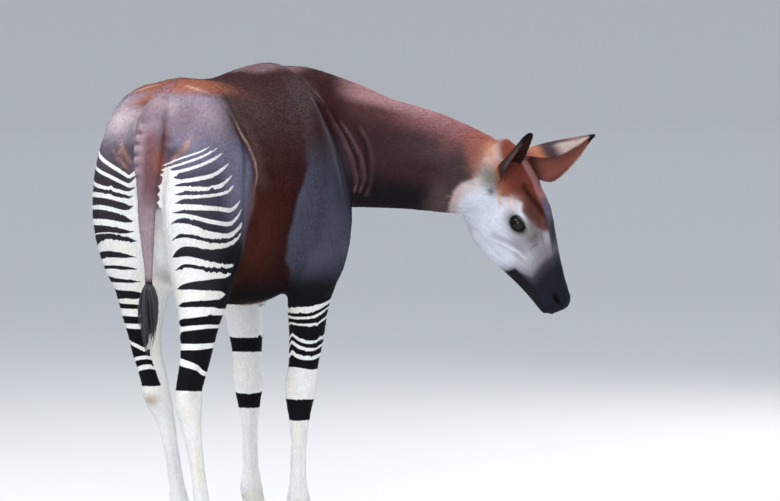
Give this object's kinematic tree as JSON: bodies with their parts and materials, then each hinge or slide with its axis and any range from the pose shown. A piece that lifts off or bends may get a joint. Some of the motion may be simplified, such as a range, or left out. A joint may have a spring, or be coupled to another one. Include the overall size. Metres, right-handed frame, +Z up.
{
  "type": "okapi",
  "caption": "Life-size okapi, a still model standing with its neck bent to its right and its head lowered.",
  "frame": {"origin": "on the floor, at the middle of the whole model's box", "axes": "+Z up, the animal faces -Y, and its right side is towards -X"},
  "size_m": [1.0632, 1.5232, 1.4986],
  "materials": {
    "coat_dark": "short satin fur, red-brown to charcoal",
    "coat_neck": "short satin fur, red-brown",
    "coat_face": "short fur, pale grey with a red-brown forehead and a slate muzzle",
    "coat_ear": "short fur outside, thin hair and bare skin inside",
    "coat_legs": "short fur, white with black stripes and bands",
    "tuft": "long black hair",
    "eye": "wet and glossy",
    "hoof": "horn, dull"
  },
  "bodies": {
    "root": {"torso": "coat_dark", "neck": "coat_neck", "head": "coat_face", "ear_right": "coat_ear", "ear_left": "coat_ear", "eye_right": "eye", "eye_left": "eye", "tail": "coat_neck", "tail_tuft": "tuft", "leg_fore_right": "coat_legs", "leg_fore_left": "coat_legs", "leg_hind_right": "coat_legs", "leg_hind_left": "coat_legs", "hoof_fore_right_inner": "hoof", "hoof_fore_right_outer": "hoof", "hoof_fore_left_inner": "hoof", "hoof_fore_left_outer": "hoof", "hoof_hind_right_inner": "hoof", "hoof_hind_right_outer": "hoof", "hoof_hind_left_inner": "hoof", "hoof_hind_left_outer": "hoof"}
  },
  "joints": []
}
